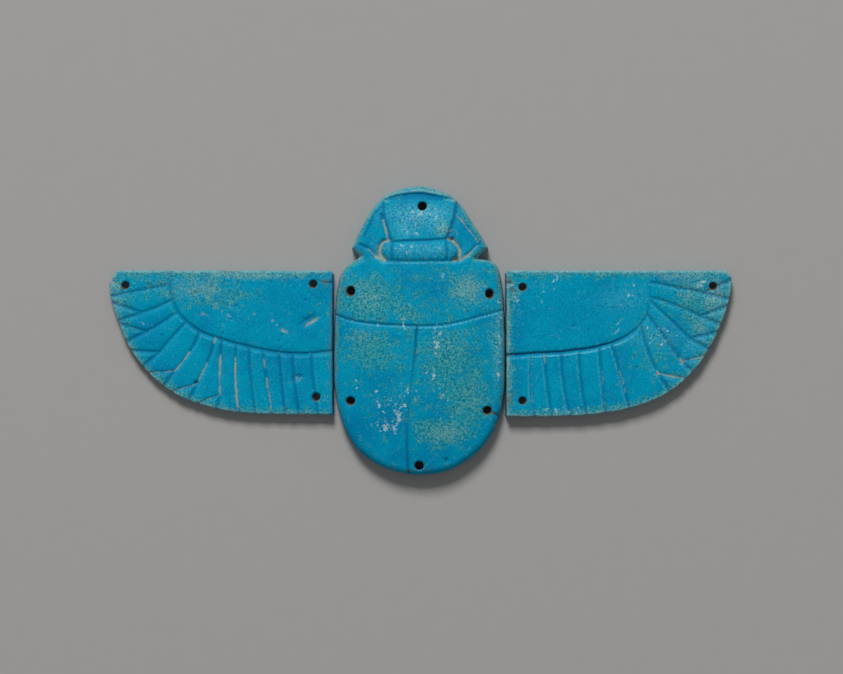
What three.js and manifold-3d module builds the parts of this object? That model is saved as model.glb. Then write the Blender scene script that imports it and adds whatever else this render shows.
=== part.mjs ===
// Winged scarab amulet in blue faience: a scarab plaque with one wing lying on each side of it.
// Three pieces, fired apart, flat underneath and pierced for the thread that sewed them to a net.
// Millimetres, +Z up. The origin is on the resting plane, under the middle of the three pieces.
import * as THREE from "three";
import { mergeVertices } from "three/addons/utils/BufferGeometryUtils.js";
import Module from "manifold-3d";

const wasm = await Module();
wasm.setup();

// Scarab plaque
const scarabWidth = 39.7;
const scarabLength = 67.5;
const scarabRimHeight = 5.4;
const scarabCrownHeight = 8;
const scarabEdgeRadius = 1.7;
const scarabBore = 2.25;
const shoulderBoreLength = 2.6;

// Wings
const wingEdgeRadius = 0.8;
const wingBore = 2.1;
const wingTaperDepth = 0.4; // how much thinner a wing is at its tip than at its root
const wingDrop = 19.7; // from the top of the head down to the straight top edge of both wings
const wingClearance = 0.5; // between the widest point of the scarab and the root edge of a wing

// Carved work: full width at the surface, and depth below it
const dividingLine = { width: 1.3, depth: 0.55 };
const seamLine = { width: 0.8, depth: 0.35 };
const panelLine = { width: 1.0, depth: 0.45 };
const legRecess = { width: 1.5, depth: 0.9 };
const featherLine = { width: 0.9, depth: 0.4 };
const featherNotch = { width: 1.1, depth: 0.55 };
const notchReach = 4.6; // along the rim, from the foot of a notch to the foot of its side branch
const crescentDepth = 0.7;
const neckBarRise = 0.7;

// Fineness of the curved work
const stationSpacing = 2.4;
const outlineSpacing = 2.3;
const edgeSteps = 3;
const boreSides = 18;
const crownRings = [0.78, 0.42];
const cutOvershoot = 1;
const cutLip = 0.2; // how far a V-shaped cutter keeps its slope above the surface
const sharpestCornerShare = 0.35; // limits how far an edge is drawn in at a pointed corner

const faience = { scarab: "#3f8fa3", left_wing: "#3a93a8", right_wing: "#2f92ab" };

// Outlines and carving are drawn as shares of their own piece.
// On the scarab: across from the middle, then up from the middle.
const bodyOutline = [
  [-0.346, 0.255], [-0.417, 0.227], [-0.467, 0.183], [-0.488, 0.096], [-0.498, -0.05],
  [-0.496, -0.2], [-0.453, -0.323], [-0.346, -0.422], [-0.186, -0.48], [0, -0.5],
  [0.193, -0.479], [0.353, -0.414], [0.448, -0.33], [0.494, -0.224], [0.5, -0.085],
  [0.494, 0.065], [0.479, 0.166], [0.451, 0.224], [0.4, 0.243], [0.329, 0.248],
];
const headOutline = [
  [0.403, 0.288], [0.323, 0.364], [0.226, 0.446], [0.122, 0.484], [0.004, 0.5],
  [-0.127, 0.487], [-0.227, 0.455], [-0.313, 0.389], [-0.398, 0.287],
];
const crescentTop = [[-0.204, 0.455], [-0.145, 0.47], [0, 0.479], [0.158, 0.464], [0.199, 0.457]];
const crescentFoot = [[0.199, 0.454], [0.1, 0.452], [0, 0.451], [-0.115, 0.451], [-0.204, 0.452]];
const thoraxFoot = [
  [-0.52, 0.067], [-0.399, 0.041], [-0.233, 0.026], [0, 0.018], [0.2, 0.022], [0.52, 0.078],
];
const wingCaseSeam = [[-0.014, 0.014], [-0.03, -0.1], [-0.063, -0.248], [-0.074, -0.39], [-0.06, -0.52]];
const headPanelLines = [
  [[-0.216, 0.447], [-0.208, 0.4], [-0.186, 0.345], [-0.162, 0.308]],
  [[0.223, 0.44], [0.21, 0.4], [0.185, 0.355], [0.161, 0.314]],
  [[-0.17, 0.308], [0, 0.312], [0.169, 0.318]],
];
const legPanelLines = [
  [[-0.222, 0.43], [-0.269, 0.396], [-0.328, 0.325]],
  [[-0.36, 0.3], [-0.305, 0.284], [-0.205, 0.243]],
  [[0.223, 0.399], [0.288, 0.35], [0.37, 0.28]],
  [[0.36, 0.306], [0.294, 0.27], [0.25, 0.244]],
];
const legRecessLines = [
  [[-0.204, 0.375], [-0.186, 0.32], [-0.226, 0.284], [-0.222, 0.247]],
  [[0.19, 0.35], [0.182, 0.318], [0.225, 0.284], [0.238, 0.247]],
];
const neckBarCorners = [[-0.219, 0.243], [0.226, 0.304]];
const neckKnobs = [[[-0.158, 0.312], [-0.163, 0.238]], [[0.158, 0.312], [0.164, 0.238]]];
const scarabBores = [[0.015, 0.43], [-0.406, -0.245], [0.4, -0.278], [-0.002, -0.467]];
const shoulderBores = [[-0.405, 0.135], [0.412, 0.126]];

// On a wing: outwards from the root edge, then down from the top edge.
// A feather line starts at a share of the covert line and ends at a share of the rim.
// It bows to one side by a share of its own length. Where two feather tips part, the line
// forks short of the rim by its notch, a share of the wing's drop.
const leftWing = {
  name: "left_wing",
  side: -1,
  reach: 52.4,
  drop: 33.8,
  thickness: 3.3,
  tipCut: 1.8,
  rootCut: 0.7,
  rim: [
    [0, 1], [0.203, 0.997], [0.405, 0.985], [0.567, 0.94], [0.702, 0.855],
    [0.818, 0.717], [0.908, 0.535], [0.963, 0.334], [0.992, 0.188], [1, 0.091],
  ],
  coverts: [
    [0.724, 0.0], [0.722, 0.153], [0.686, 0.296], [0.594, 0.418],
    [0.459, 0.49], [0.302, 0.55], [0.149, 0.576], [0, 0.554],
  ],
  bores: [
    { fromRoot: 4.6, fromTop: 3.2 },
    { fromRoot: 3.9, fromTop: 29.6 },
    { fromTip: 3.8, fromTop: 3.5 },
  ],
  feathers: [
    { root: 0.064, rim: 0.958, notch: 0, bow: 0 },
    { root: 0.138, rim: 0.869, notch: 0.175, bow: 0.03 },
    { root: 0.202, rim: 0.795, notch: 0.157, bow: 0.015 },
    { root: 0.268, rim: 0.693, notch: 0.154, bow: -0.015 },
    { root: 0.346, rim: 0.595, notch: 0.133, bow: 0.05 },
    { root: 0.427, rim: 0.493, notch: 0.127, bow: 0.04 },
    { root: 0.458, rim: 0.395, notch: 0.104, bow: -0.015 },
    { root: 0.53, rim: 0.32, notch: 0, bow: -0.03 },
    { root: 0.592, rim: 0.264, notch: 0, bow: -0.015 },
    { root: 0.66, rim: 0.206, notch: 0, bow: 0 },
    { root: 0.738, rim: 0.162, notch: 0, bow: 0 },
    { root: 0.805, rim: 0.114, notch: 0, bow: -0.015 },
    { root: 0.896, rim: 0.049, notch: 0, bow: 0 },
  ],
};
const rightWing = {
  name: "right_wing",
  side: 1,
  reach: 52.8,
  drop: 34.1,
  thickness: 3.8,
  tipCut: 1.3,
  rootCut: 0.6,
  rim: [
    [0, 1], [0.205, 1], [0.41, 0.981], [0.583, 0.928], [0.721, 0.833],
    [0.837, 0.675], [0.922, 0.468], [0.975, 0.265], [0.995, 0.138], [1, 0.048],
  ],
  coverts: [
    [0.641, 0.0], [0.639, 0.186], [0.608, 0.341], [0.525, 0.455],
    [0.41, 0.518], [0.276, 0.551], [0.138, 0.565], [0, 0.579],
  ],
  bores: [
    { fromRoot: 3.8, fromTop: 3.9 },
    { fromRoot: 3.8, fromTop: 30.5 },
    { fromTip: 4.4, fromTop: 3.7 },
  ],
  feathers: [
    { root: 0.059, rim: 0.93, notch: 0.182, bow: 0.01 },
    { root: 0.134, rim: 0.841, notch: 0.152, bow: 0.03 },
    { root: 0.15, rim: 0.749, notch: 0.147, bow: 0 },
    { root: 0.219, rim: 0.658, notch: 0.103, bow: 0 },
    { root: 0.285, rim: 0.557, notch: 0.15, bow: -0.03 },
    { root: 0.462, rim: 0.409, notch: 0, bow: 0.015 },
    { root: 0.525, rim: 0.33, notch: 0, bow: 0 },
    { root: 0.63, rim: 0.267, notch: 0, bow: -0.02 },
    { root: 0.718, rim: 0.213, notch: 0, bow: -0.035 },
    { root: 0.81, rim: 0.15, notch: 0, bow: 0 },
    { root: 0.869, rim: 0.093, notch: 0, bow: -0.03 },
  ],
};

// The whole width sets the origin; the scarab sits between the two wings.
const amuletWidth = leftWing.reach + scarabWidth + rightWing.reach + 2 * wingClearance;
const scarabCentre = leftWing.reach + wingClearance + scarabWidth / 2 - amuletWidth / 2;
const wingTop = scarabLength / 2 - wingDrop;

// A smooth line through a few stations, level with the resting plane.
function lineThrough(points) {
  return new THREE.CatmullRomCurve3(points, false, "catmullrom", 0.5);
}

function stepsAlong(curve, spacing) {
  return Math.max(2, Math.round(curve.getLength() / spacing));
}

// A closed geometry with shared corners becomes a solid that can be cut and joined.
function solidFrom(geometry) {
  const bare = geometry.clone();
  bare.deleteAttribute("normal");
  bare.deleteAttribute("uv");
  const merged = mergeVertices(bare);
  const vertProperties = new Float32Array(merged.attributes.position.array);
  const triVerts = new Uint32Array(merged.index.array);
  return new wasm.Manifold(new wasm.Mesh({ numProp: 3, vertProperties, triVerts }));
}

function geometryFrom(solid) {
  const mesh = solid.getMesh();
  const geometry = new THREE.BufferGeometry();
  geometry.setAttribute("position", new THREE.Float32BufferAttribute(mesh.vertProperties, 3));
  geometry.setIndex([...mesh.triVerts]);
  return geometry;
}

// Left-hand side of the way from one outline point to the next, which is inwards.
function inwards(from, to) {
  return new THREE.Vector2(from.y - to.y, to.x - from.x).normalize();
}

// The outline drawn in by a distance, with each point moved along its own bisector.
function drawnIn(outline, distance) {
  return outline.map((point, index) => {
    const before = inwards(outline.at(index - 1), point);
    const after = inwards(point, outline[(index + 1) % outline.length]);
    const bisector = before.clone().add(after).normalize();
    const spread = Math.max(bisector.dot(before), sharpestCornerShare);
    return bisector.multiplyScalar(distance / spread).add(point);
  });
}

// A flat-bottomed plate: upright sides, an edge rounded over, and a top that follows the surface.
function plate(outline, middle, edgeRadius, surface) {
  const rings = [outline.map((point) => [point.x, point.y, 0])];
  for (let step = 0; step <= edgeSteps; step += 1) {
    const angle = (step / edgeSteps) * (Math.PI / 2);
    const sink = edgeRadius * (1 - Math.sin(angle));
    const ring = drawnIn(outline, edgeRadius * (1 - Math.cos(angle)));
    rings.push(ring.map((point) => [point.x, point.y, surface(point) - sink]));
  }
  const brow = drawnIn(outline, edgeRadius);
  for (const share of crownRings) {
    const ring = brow.map((point) => middle.clone().lerp(point, share));
    rings.push(ring.map((point) => [point.x, point.y, surface(point)]));
  }
  const positions = rings.flat(2);
  const count = outline.length;
  const under = rings.length * count;
  const crown = under + 1;
  positions.push(middle.x, middle.y, 0, middle.x, middle.y, surface(middle));
  const faces = [];
  for (let index = 0; index < count; index += 1) {
    const next = (index + 1) % count;
    faces.push(under, next, index);
    for (let level = 0; level < rings.length - 1; level += 1) {
      const low = level * count;
      const high = low + count;
      faces.push(low + index, low + next, high + next, low + index, high + next, high + index);
    }
    const last = (rings.length - 1) * count;
    faces.push(last + index, last + next, crown);
  }
  const geometry = new THREE.BufferGeometry();
  geometry.setAttribute("position", new THREE.Float32BufferAttribute(positions, 3));
  geometry.setIndex(faces);
  return solidFrom(geometry);
}

// Raises a level cutter so that it follows the surface it is carved into.
function laidOn(geometry, surface) {
  const position = geometry.attributes.position;
  for (let index = 0; index < position.count; index += 1) {
    const place = new THREE.Vector2(position.getX(index), position.getY(index));
    position.setZ(index, position.getZ(index) + surface(place));
  }
  return solidFrom(geometry);
}

// A V-shaped carved line along a level curve. Across the section, down is the first axis.
function carvedLine(curve, line, surface) {
  const halfWidth = (line.width / 2) * (1 + cutLip / line.depth);
  const section = new THREE.Shape([
    new THREE.Vector2(line.depth, 0),
    new THREE.Vector2(-cutLip, halfWidth),
    new THREE.Vector2(-cutOvershoot, halfWidth),
    new THREE.Vector2(-cutOvershoot, -halfWidth),
    new THREE.Vector2(-cutLip, -halfWidth),
  ]);
  const steps = stepsAlong(curve, stationSpacing);
  return laidOn(new THREE.ExtrudeGeometry(section, { steps, extrudePath: curve }), surface);
}

// A shallow pocket with a floor that keeps one depth below the surface.
function pocket(outline, depth, surface) {
  const geometry = new THREE.ExtrudeGeometry(new THREE.Shape(outline), {
    depth: depth + cutOvershoot,
    bevelEnabled: false,
  });
  return laidOn(geometry.translate(0, 0, -depth), surface);
}

function bore(place, width, length, top) {
  const height = top + 2 * cutOvershoot;
  const geometry = new THREE.CylinderGeometry(width / 2, width / 2, height, boreSides);
  geometry.rotateX(Math.PI / 2);
  geometry.scale(1, length / width, 1);
  return solidFrom(geometry.translate(place.x, place.y, height / 2 - cutOvershoot));
}

function named(name, solid) {
  const material = new THREE.MeshStandardMaterial({ color: faience[name], roughness: 0.5, metalness: 0 });
  const mesh = new THREE.Mesh(geometryFrom(solid), material);
  mesh.name = name;
  return mesh;
}

// The scarab's own frame has its origin at the middle of its length and width.
const onScarab = ([across, up]) => new THREE.Vector3(across * scarabWidth, up * scarabLength, 0);

function scarabSurface(place) {
  const across = place.x / (scarabWidth / 2);
  const up = place.y / (scarabLength / 2);
  return scarabRimHeight + (scarabCrownHeight - scarabRimHeight) * (1 - across ** 2 - up ** 2);
}

// Evenly spaced outline points along a curve, leaving the last one to the curve that follows.
function outlinePoints(curve) {
  const points = curve.getSpacedPoints(stepsAlong(curve, outlineSpacing));
  return points.slice(0, -1).map((point) => new THREE.Vector2(point.x, point.y));
}

function lastPoint(curve) {
  const end = curve.getPoint(1);
  return new THREE.Vector2(end.x, end.y);
}

// Head, legs and body in one outline, with a small open notch under each leg tip.
function scarabOutline() {
  const body = lineThrough(bodyOutline.map(onScarab));
  const head = lineThrough(headOutline.map(onScarab));
  return [...outlinePoints(body), lastPoint(body), ...outlinePoints(head), lastPoint(head)];
}

// The neck bar is a low roll with round ends, standing above the surface.
function neckBar() {
  const [left, right] = neckBarCorners.map(onScarab);
  const radius = (right.y - left.y) / 2;
  const middle = left.clone().lerp(right, 0.5);
  const roll = new THREE.CapsuleGeometry(radius, right.x - left.x - 2 * radius, 4, 14);
  roll.rotateZ(Math.PI / 2);
  roll.scale(1, 1, 2 * neckBarRise / radius);
  return laidOn(roll.translate(middle.x, middle.y, -neckBarRise), scarabSurface);
}

function scarab() {
  const middle = new THREE.Vector2(0, 0);
  const body = plate(scarabOutline(), middle, scarabEdgeRadius, scarabSurface);
  let solid = body.add(neckBar());
  const carve = (stations, line) => {
    solid = solid.subtract(carvedLine(lineThrough(stations.map(onScarab)), line, scarabSurface));
  };
  carve(thoraxFoot, dividingLine);
  carve(wingCaseSeam, seamLine);
  headPanelLines.forEach((stations) => carve(stations, panelLine));
  legPanelLines.forEach((stations) => carve(stations, panelLine));
  legRecessLines.forEach((stations) => carve(stations, legRecess));
  neckKnobs.forEach((stations) => carve(stations, panelLine));
  const crescent = [crescentTop, crescentFoot].flatMap((stations) => {
    return outlinePoints(lineThrough(stations.map(onScarab)));
  });
  solid = solid.subtract(pocket(crescent, crescentDepth, scarabSurface));
  for (const share of scarabBores) {
    solid = solid.subtract(bore(onScarab(share), scarabBore, scarabBore, scarabCrownHeight));
  }
  for (const share of shoulderBores) {
    solid = solid.subtract(bore(onScarab(share), scarabBore, shoulderBoreLength, scarabCrownHeight));
  }
  return named("scarab", solid);
}

// A wing's own frame has its origin at the corner of the root edge and the top edge.
function onWing(wing) {
  return ([out, down]) => new THREE.Vector3(wing.side * out * wing.reach, -down * wing.drop, 0);
}

function wingOutline(wing, rim) {
  const place = onWing(wing);
  const cut = new THREE.Vector2(wing.side * wing.rootCut, 0);
  const corners = [
    lastPoint(rim),
    place([1 - wing.tipCut / wing.reach, 0]),
    cut,
    new THREE.Vector2(0, -wing.rootCut),
  ];
  const points = [...outlinePoints(rim), ...corners.map((point) => new THREE.Vector2(point.x, point.y))];
  return THREE.ShapeUtils.isClockWise(points) ? points.reverse() : points;
}

// The place a little past the end of a line, so that its cut runs out through the edge.
function past(start, end) {
  const way = end.clone().sub(start).normalize();
  return end.clone().addScaledVector(way, cutOvershoot);
}

// A line that bows to its left by a share of its length.
function bowedLine(start, end, bow) {
  const way = end.clone().sub(start);
  const left = new THREE.Vector3(-way.y, way.x, 0);
  const middle = start.clone().lerp(end, 0.5);
  return new THREE.QuadraticBezierCurve3(start, middle.addScaledVector(left, 2 * bow), end);
}

// A feather line from the coverts to the rim, forked into a notch where the feather tips part.
function featherCurves(feather, coverts, rim, drop) {
  const root = coverts.getPointAt(feather.root);
  const foot = rim.getPointAt(feather.rim);
  if (feather.notch === 0) {
    return [{ curve: bowedLine(root, past(root, foot), feather.bow), line: featherLine }];
  }
  const along = rim.getTangentAt(feather.rim);
  const upright = new THREE.Vector3(0, 0, 1);
  const inward = along.clone().cross(upright);
  if (inward.dot(root.clone().sub(foot)) < 0) {
    inward.negate();
  }
  const fork = foot.clone().addScaledVector(inward, feather.notch * drop);
  const branch = rim.getPointAt(Math.min(feather.rim + notchReach / rim.getLength(), 1));
  return [
    { curve: bowedLine(root, fork, feather.bow), line: featherLine },
    { curve: new THREE.LineCurve3(fork, past(fork, foot)), line: featherNotch },
    { curve: new THREE.LineCurve3(fork, past(fork, branch)), line: featherNotch },
  ];
}

function wing(form) {
  const place = onWing(form);
  const rim = lineThrough(form.rim.map(place));
  const covertStations = form.coverts.map(place);
  const coverts = lineThrough(covertStations);
  const surface = (point) => form.thickness - wingTaperDepth * (point.x / form.reach) ** 2;
  const outline = wingOutline(form, rim);
  const middle = outline.reduce((sum, point) => sum.add(point), new THREE.Vector2());
  let solid = plate(outline, middle.divideScalar(outline.length), wingEdgeRadius, surface);
  const covertCut = lineThrough([
    past(covertStations[1], covertStations[0]),
    ...covertStations.slice(1, -1),
    past(covertStations.at(-2), covertStations.at(-1)),
  ]);
  solid = solid.subtract(carvedLine(covertCut, dividingLine, surface));
  for (const feather of form.feathers) {
    for (const { curve, line } of featherCurves(feather, coverts, rim, form.drop)) {
      solid = solid.subtract(carvedLine(curve, line, surface));
    }
  }
  for (const { fromTop, fromTip, fromRoot = form.reach - fromTip } of form.bores) {
    const centre = new THREE.Vector2(form.side * fromRoot, -fromTop);
    solid = solid.subtract(bore(centre, wingBore, wingBore, form.thickness));
  }
  return named(form.name, solid);
}

const amulet = new THREE.Group();

const scarabMesh = scarab();
scarabMesh.position.set(scarabCentre, 0, 0);
amulet.add(scarabMesh);

for (const form of [leftWing, rightWing]) {
  const wingMesh = wing(form);
  const rootEdge = scarabCentre + form.side * (scarabWidth / 2 + wingClearance);
  wingMesh.position.set(rootEdge, wingTop, 0);
  amulet.add(wingMesh);
}

export default amulet;
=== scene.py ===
"""Winged scarab amulet in blue faience: the glazed pieces, their material and a plain studio stage."""
import math
from dataclasses import dataclass, replace

import bmesh
import bpy
import numpy as np
from mathutils import Matrix, Vector, noise


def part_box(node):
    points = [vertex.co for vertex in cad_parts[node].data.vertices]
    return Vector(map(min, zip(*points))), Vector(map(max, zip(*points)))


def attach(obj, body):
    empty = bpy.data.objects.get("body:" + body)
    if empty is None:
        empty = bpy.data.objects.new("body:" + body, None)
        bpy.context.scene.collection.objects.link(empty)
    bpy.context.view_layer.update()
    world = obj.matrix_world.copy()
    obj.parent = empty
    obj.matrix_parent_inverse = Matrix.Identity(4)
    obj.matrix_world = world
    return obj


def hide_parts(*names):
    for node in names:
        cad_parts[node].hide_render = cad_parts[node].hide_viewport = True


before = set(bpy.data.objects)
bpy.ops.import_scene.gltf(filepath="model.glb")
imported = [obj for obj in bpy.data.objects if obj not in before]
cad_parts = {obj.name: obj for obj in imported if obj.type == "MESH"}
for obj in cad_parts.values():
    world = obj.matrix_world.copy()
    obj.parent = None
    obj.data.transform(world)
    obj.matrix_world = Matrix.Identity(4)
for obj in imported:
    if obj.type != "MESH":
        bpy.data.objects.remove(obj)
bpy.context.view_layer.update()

bl_info = {
    "name": "Winged scarab amulet",
    "version": (1, 0, 0),
    "blender": (4, 5, 0),
    "location": "3D View > Sidebar > Amulet",
    "description": "Models a winged scarab in worn blue faience and the stage it lies on",
    "category": "Object",
}

# Modelling is done in millimetres and written to the meshes in metres.
MM = 0.001
PIXEL = 0.235
PHOTO_MIDDLE = (420.4, 330.65)
PHOTO_FRAME = (843, 674)
SCARAB_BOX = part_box("scarab")
LEFT_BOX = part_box("left_wing")
RIGHT_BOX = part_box("right_wing")

# Outlines: spacing of their corners, and how many places draw one bowed line.
OUTLINE_STEP = 0.8
BOW_PLACES = 13
# Tops: how high their hand-made bumps are, and how wide.
SCARAB_BUMP = 0.06
WING_BUMP = 0.08
BUMP_SIZE = 6
# Walls: how uneven they are, width of a bump, and the share of a finish that reaches their foot.
WOBBLE = 0.1
WOBBLE_SIZE = 3.5
WOBBLE_SEEDS = (11, 23)
WALL_FINISH = 0.2
THINNEST = 0.4
# The walls beside the gaps slope out to their foot, on the scarab only where it lies level with
# the wings, and on a wing only at its root edge.
GAP_FLARE = 0.3
FLARE_REACH = 0.4
WING_LEVEL = 20
ROOT_SIDE = 0.6
# Pins that bore the thread holes. The thread pulled most on holes at least this far from the piece's
# middle line or root edge: there a pin sits off the worn mouth and is thinner.
WORN_FROM = 5
PIN_INWARD = 0.17
PIN_UPWARD = 0.18
PIN_PLAY = 0.1
PIN_WORN_PLAY = 0.15
SHOULDER_STRETCH = 1.15
# The crescent: how steep its front edge is, how its foot rises again, its depth and its painted shade.
CRESCENT_EDGE = 0.25
CRESCENT_RISE = (1.3, 1.8)
CRESCENT_DEPTH = 0.6
CRESCENT_SHADE = 0.65
# The pale band along the scarab's rim, partly a painted highlight, fades out this far below the middle,
# towards the tail in shade.
SCARAB_FADE = 25
# The wings' lines: roll beside them, lean and shade of the feather lines, and how notches differ.
WING_ROLL = 0.15
FEATHER_LEAN = 0.5
FEATHER_SHADE = 0.75
NOTCH_WIDER = 1.15
NOTCH_DEEPER = 1.1
RIM_STEP = 0.005
ROOT_LIGHT_REACH = 1.2
# The stage, in metres: the floor's half size, and the key light's size and distance.
FLOOR_HALF = 1.5
KEY_SIZE = (0.6, 0.66)
KEY_DISTANCE = 2.2
PULP_MOTTLE = 0.03

# Outlines and carving are drawn as shares of their own piece.
# On the scarab: across from the middle, then up from the middle.
BODY_OUTLINE = (
    (-0.346, 0.255), (-0.417, 0.227), (-0.467, 0.183), (-0.488, 0.096), (-0.498, -0.05),
    (-0.496, -0.2), (-0.453, -0.323), (-0.346, -0.422), (-0.186, -0.48), (0, -0.5),
    (0.193, -0.479), (0.353, -0.414), (0.448, -0.33), (0.494, -0.224), (0.5, -0.085),
    (0.494, 0.065), (0.479, 0.166), (0.451, 0.224), (0.4, 0.243), (0.329, 0.248),
)
HEAD_OUTLINE = (
    (0.403, 0.288), (0.323, 0.364), (0.226, 0.446), (0.122, 0.484), (0.004, 0.5),
    (-0.127, 0.487), (-0.227, 0.455), (-0.313, 0.389), (-0.398, 0.287),
)
CRESCENT_TOP = ((-0.204, 0.455), (-0.145, 0.47), (0, 0.479), (0.158, 0.464), (0.199, 0.457))
CRESCENT_FOOT = ((0.199, 0.454), (0.1, 0.452), (0, 0.451), (-0.115, 0.451), (-0.204, 0.452))
NECK_BAR = ((-0.219, 0.243), (0.226, 0.304))
SCARAB_BORES = ((0.015, 0.43), (-0.406, -0.245), (0.4, -0.278), (-0.002, -0.467))
SHOULDER_BORES = ((-0.405, 0.135), (0.412, 0.126))


@dataclass
class Line:
    """One carved line: where it runs, its section, and how its glaze, painted shade and highlight show
    from start to end.
    """

    stations: tuple
    width: float
    depth: float
    steep: float = 0.0
    bare: tuple = ()
    roll: float = 0.0
    dark: tuple = (1,)
    lip: tuple = (0,)


@dataclass
class Feather:
    """One feather line: from a share of the covert line to a share of the rim.

    It bows by a share of its length, and forks a notch's millimetres short of the rim.
    """

    root: float
    rim: float
    notch: float = 0.0
    bow: float = 0.0
    bare: tuple = ()
    fork_bare: float = 0.0
    depth: float = 1.0


@dataclass
class Wing:
    """The drawn form of one wing, in shares out from the root edge and down from the top edge."""

    node: str
    side: int
    box: tuple
    tip_cut: float
    root_cut: float
    root_light: float
    fade: tuple
    lip: tuple
    feather_lip: float
    rim: tuple
    coverts: tuple
    bores: tuple
    feathers: tuple


LEFT_WING = Wing(
    node="left_wing", side=-1, box=LEFT_BOX, tip_cut=1.8, root_cut=0.7, root_light=0.15,
    fade=(0.3, 0.5, 0.7, 0.7, 0.65, 0.6, 0.6), lip=(0.2, 0.4, 0.3, 0.3, 0.2, 0.2), feather_lip=0.12,
    rim=(
        (0, 1), (0.203, 0.997), (0.405, 0.985), (0.567, 0.94), (0.702, 0.855),
        (0.818, 0.717), (0.908, 0.535), (0.963, 0.334), (0.992, 0.188), (1, 0.091),
    ),
    coverts=(
        (0.724, 0.0), (0.722, 0.153), (0.686, 0.296), (0.594, 0.418),
        (0.459, 0.49), (0.302, 0.55), (0.149, 0.576), (0, 0.554),
    ),
    bores=((4.6, 3.2), (3.9, 29.6), (48.6, 3.5)),
    feathers=(
        Feather(0.064, 0.958, depth=0.7),
        Feather(0.138, 0.869, 5.9, 0.03),
        Feather(0.202, 0.795, 5.3, 0.015),
        Feather(0.268, 0.693, 5.2, -0.015),
        Feather(0.346, 0.595, 4.5, 0.05, bare=((0.5, 1.0, 0.8),), fork_bare=0.5),
        Feather(0.427, 0.493, 4.3, 0.04, bare=((0.0, 0.12, 0.8), (0.55, 1.0, 0.8)), fork_bare=0.5),
        Feather(0.458, 0.395, 3.5, -0.015, bare=((0.3, 1.0, 0.9),), fork_bare=0.5),
        Feather(0.53, 0.32, bow=-0.03, bare=((0.22, 0.9, 1.0),)),
        Feather(0.592, 0.264, bow=-0.015, depth=0.6),
        Feather(0.66, 0.206, bare=((0.15, 0.28, 0.6), (0.45, 0.9, 0.7))),
        Feather(0.738, 0.162, depth=0.7),
        Feather(0.805, 0.114, bow=-0.015, depth=0.7),
        Feather(0.896, 0.049, bow=-0.015, depth=0.8),
    ),
)
RIGHT_WING = Wing(
    node="right_wing", side=1, box=RIGHT_BOX, tip_cut=1.3, root_cut=0.6, root_light=1.0,
    fade=(0.1, 0.25, 0.5, 0.9, 1, 1, 1), lip=(0, 0, 0.2, 0.7, 1.3, 1.3, 1.3, 0.8, 0.3), feather_lip=0.4,
    rim=(
        (0, 1), (0.205, 1), (0.41, 0.981), (0.583, 0.928), (0.721, 0.833),
        (0.837, 0.675), (0.922, 0.468), (0.975, 0.265), (0.995, 0.138), (1, 0.048),
    ),
    coverts=(
        (0.641, 0.0), (0.639, 0.186), (0.608, 0.341), (0.525, 0.455),
        (0.41, 0.518), (0.276, 0.551), (0.138, 0.565), (0, 0.579),
    ),
    bores=((3.8, 3.9), (3.8, 30.5), (48.4, 3.7)),
    feathers=(
        Feather(0.059, 0.93, 6.2, 0.01),
        Feather(0.134, 0.841, 5.2, 0.03),
        Feather(0.15, 0.749, 5, 0),
        Feather(0.219, 0.658, 3.5, 0, bare=((0.95, 1.0, 0.9),), fork_bare=0.7),
        Feather(0.285, 0.557, 5.1, -0.03, bare=((0.95, 1.0, 1.0),), fork_bare=0.8),
        Feather(0.462, 0.409, bow=0.015, bare=((0.45, 0.75, 0.5),)),
        Feather(0.525, 0.33, bare=((0.35, 0.85, 0.35),)),
        Feather(0.63, 0.267, bow=-0.02, depth=0.8),
        Feather(0.718, 0.213, bow=-0.035, depth=0.6),
        Feather(0.81, 0.15, bare=((0.02, 0.15, 0.5),), depth=0.8),
        Feather(0.869, 0.093, bow=-0.03, bare=((0.0, 0.9, 0.35),), depth=0.7),
    ),
)

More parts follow.
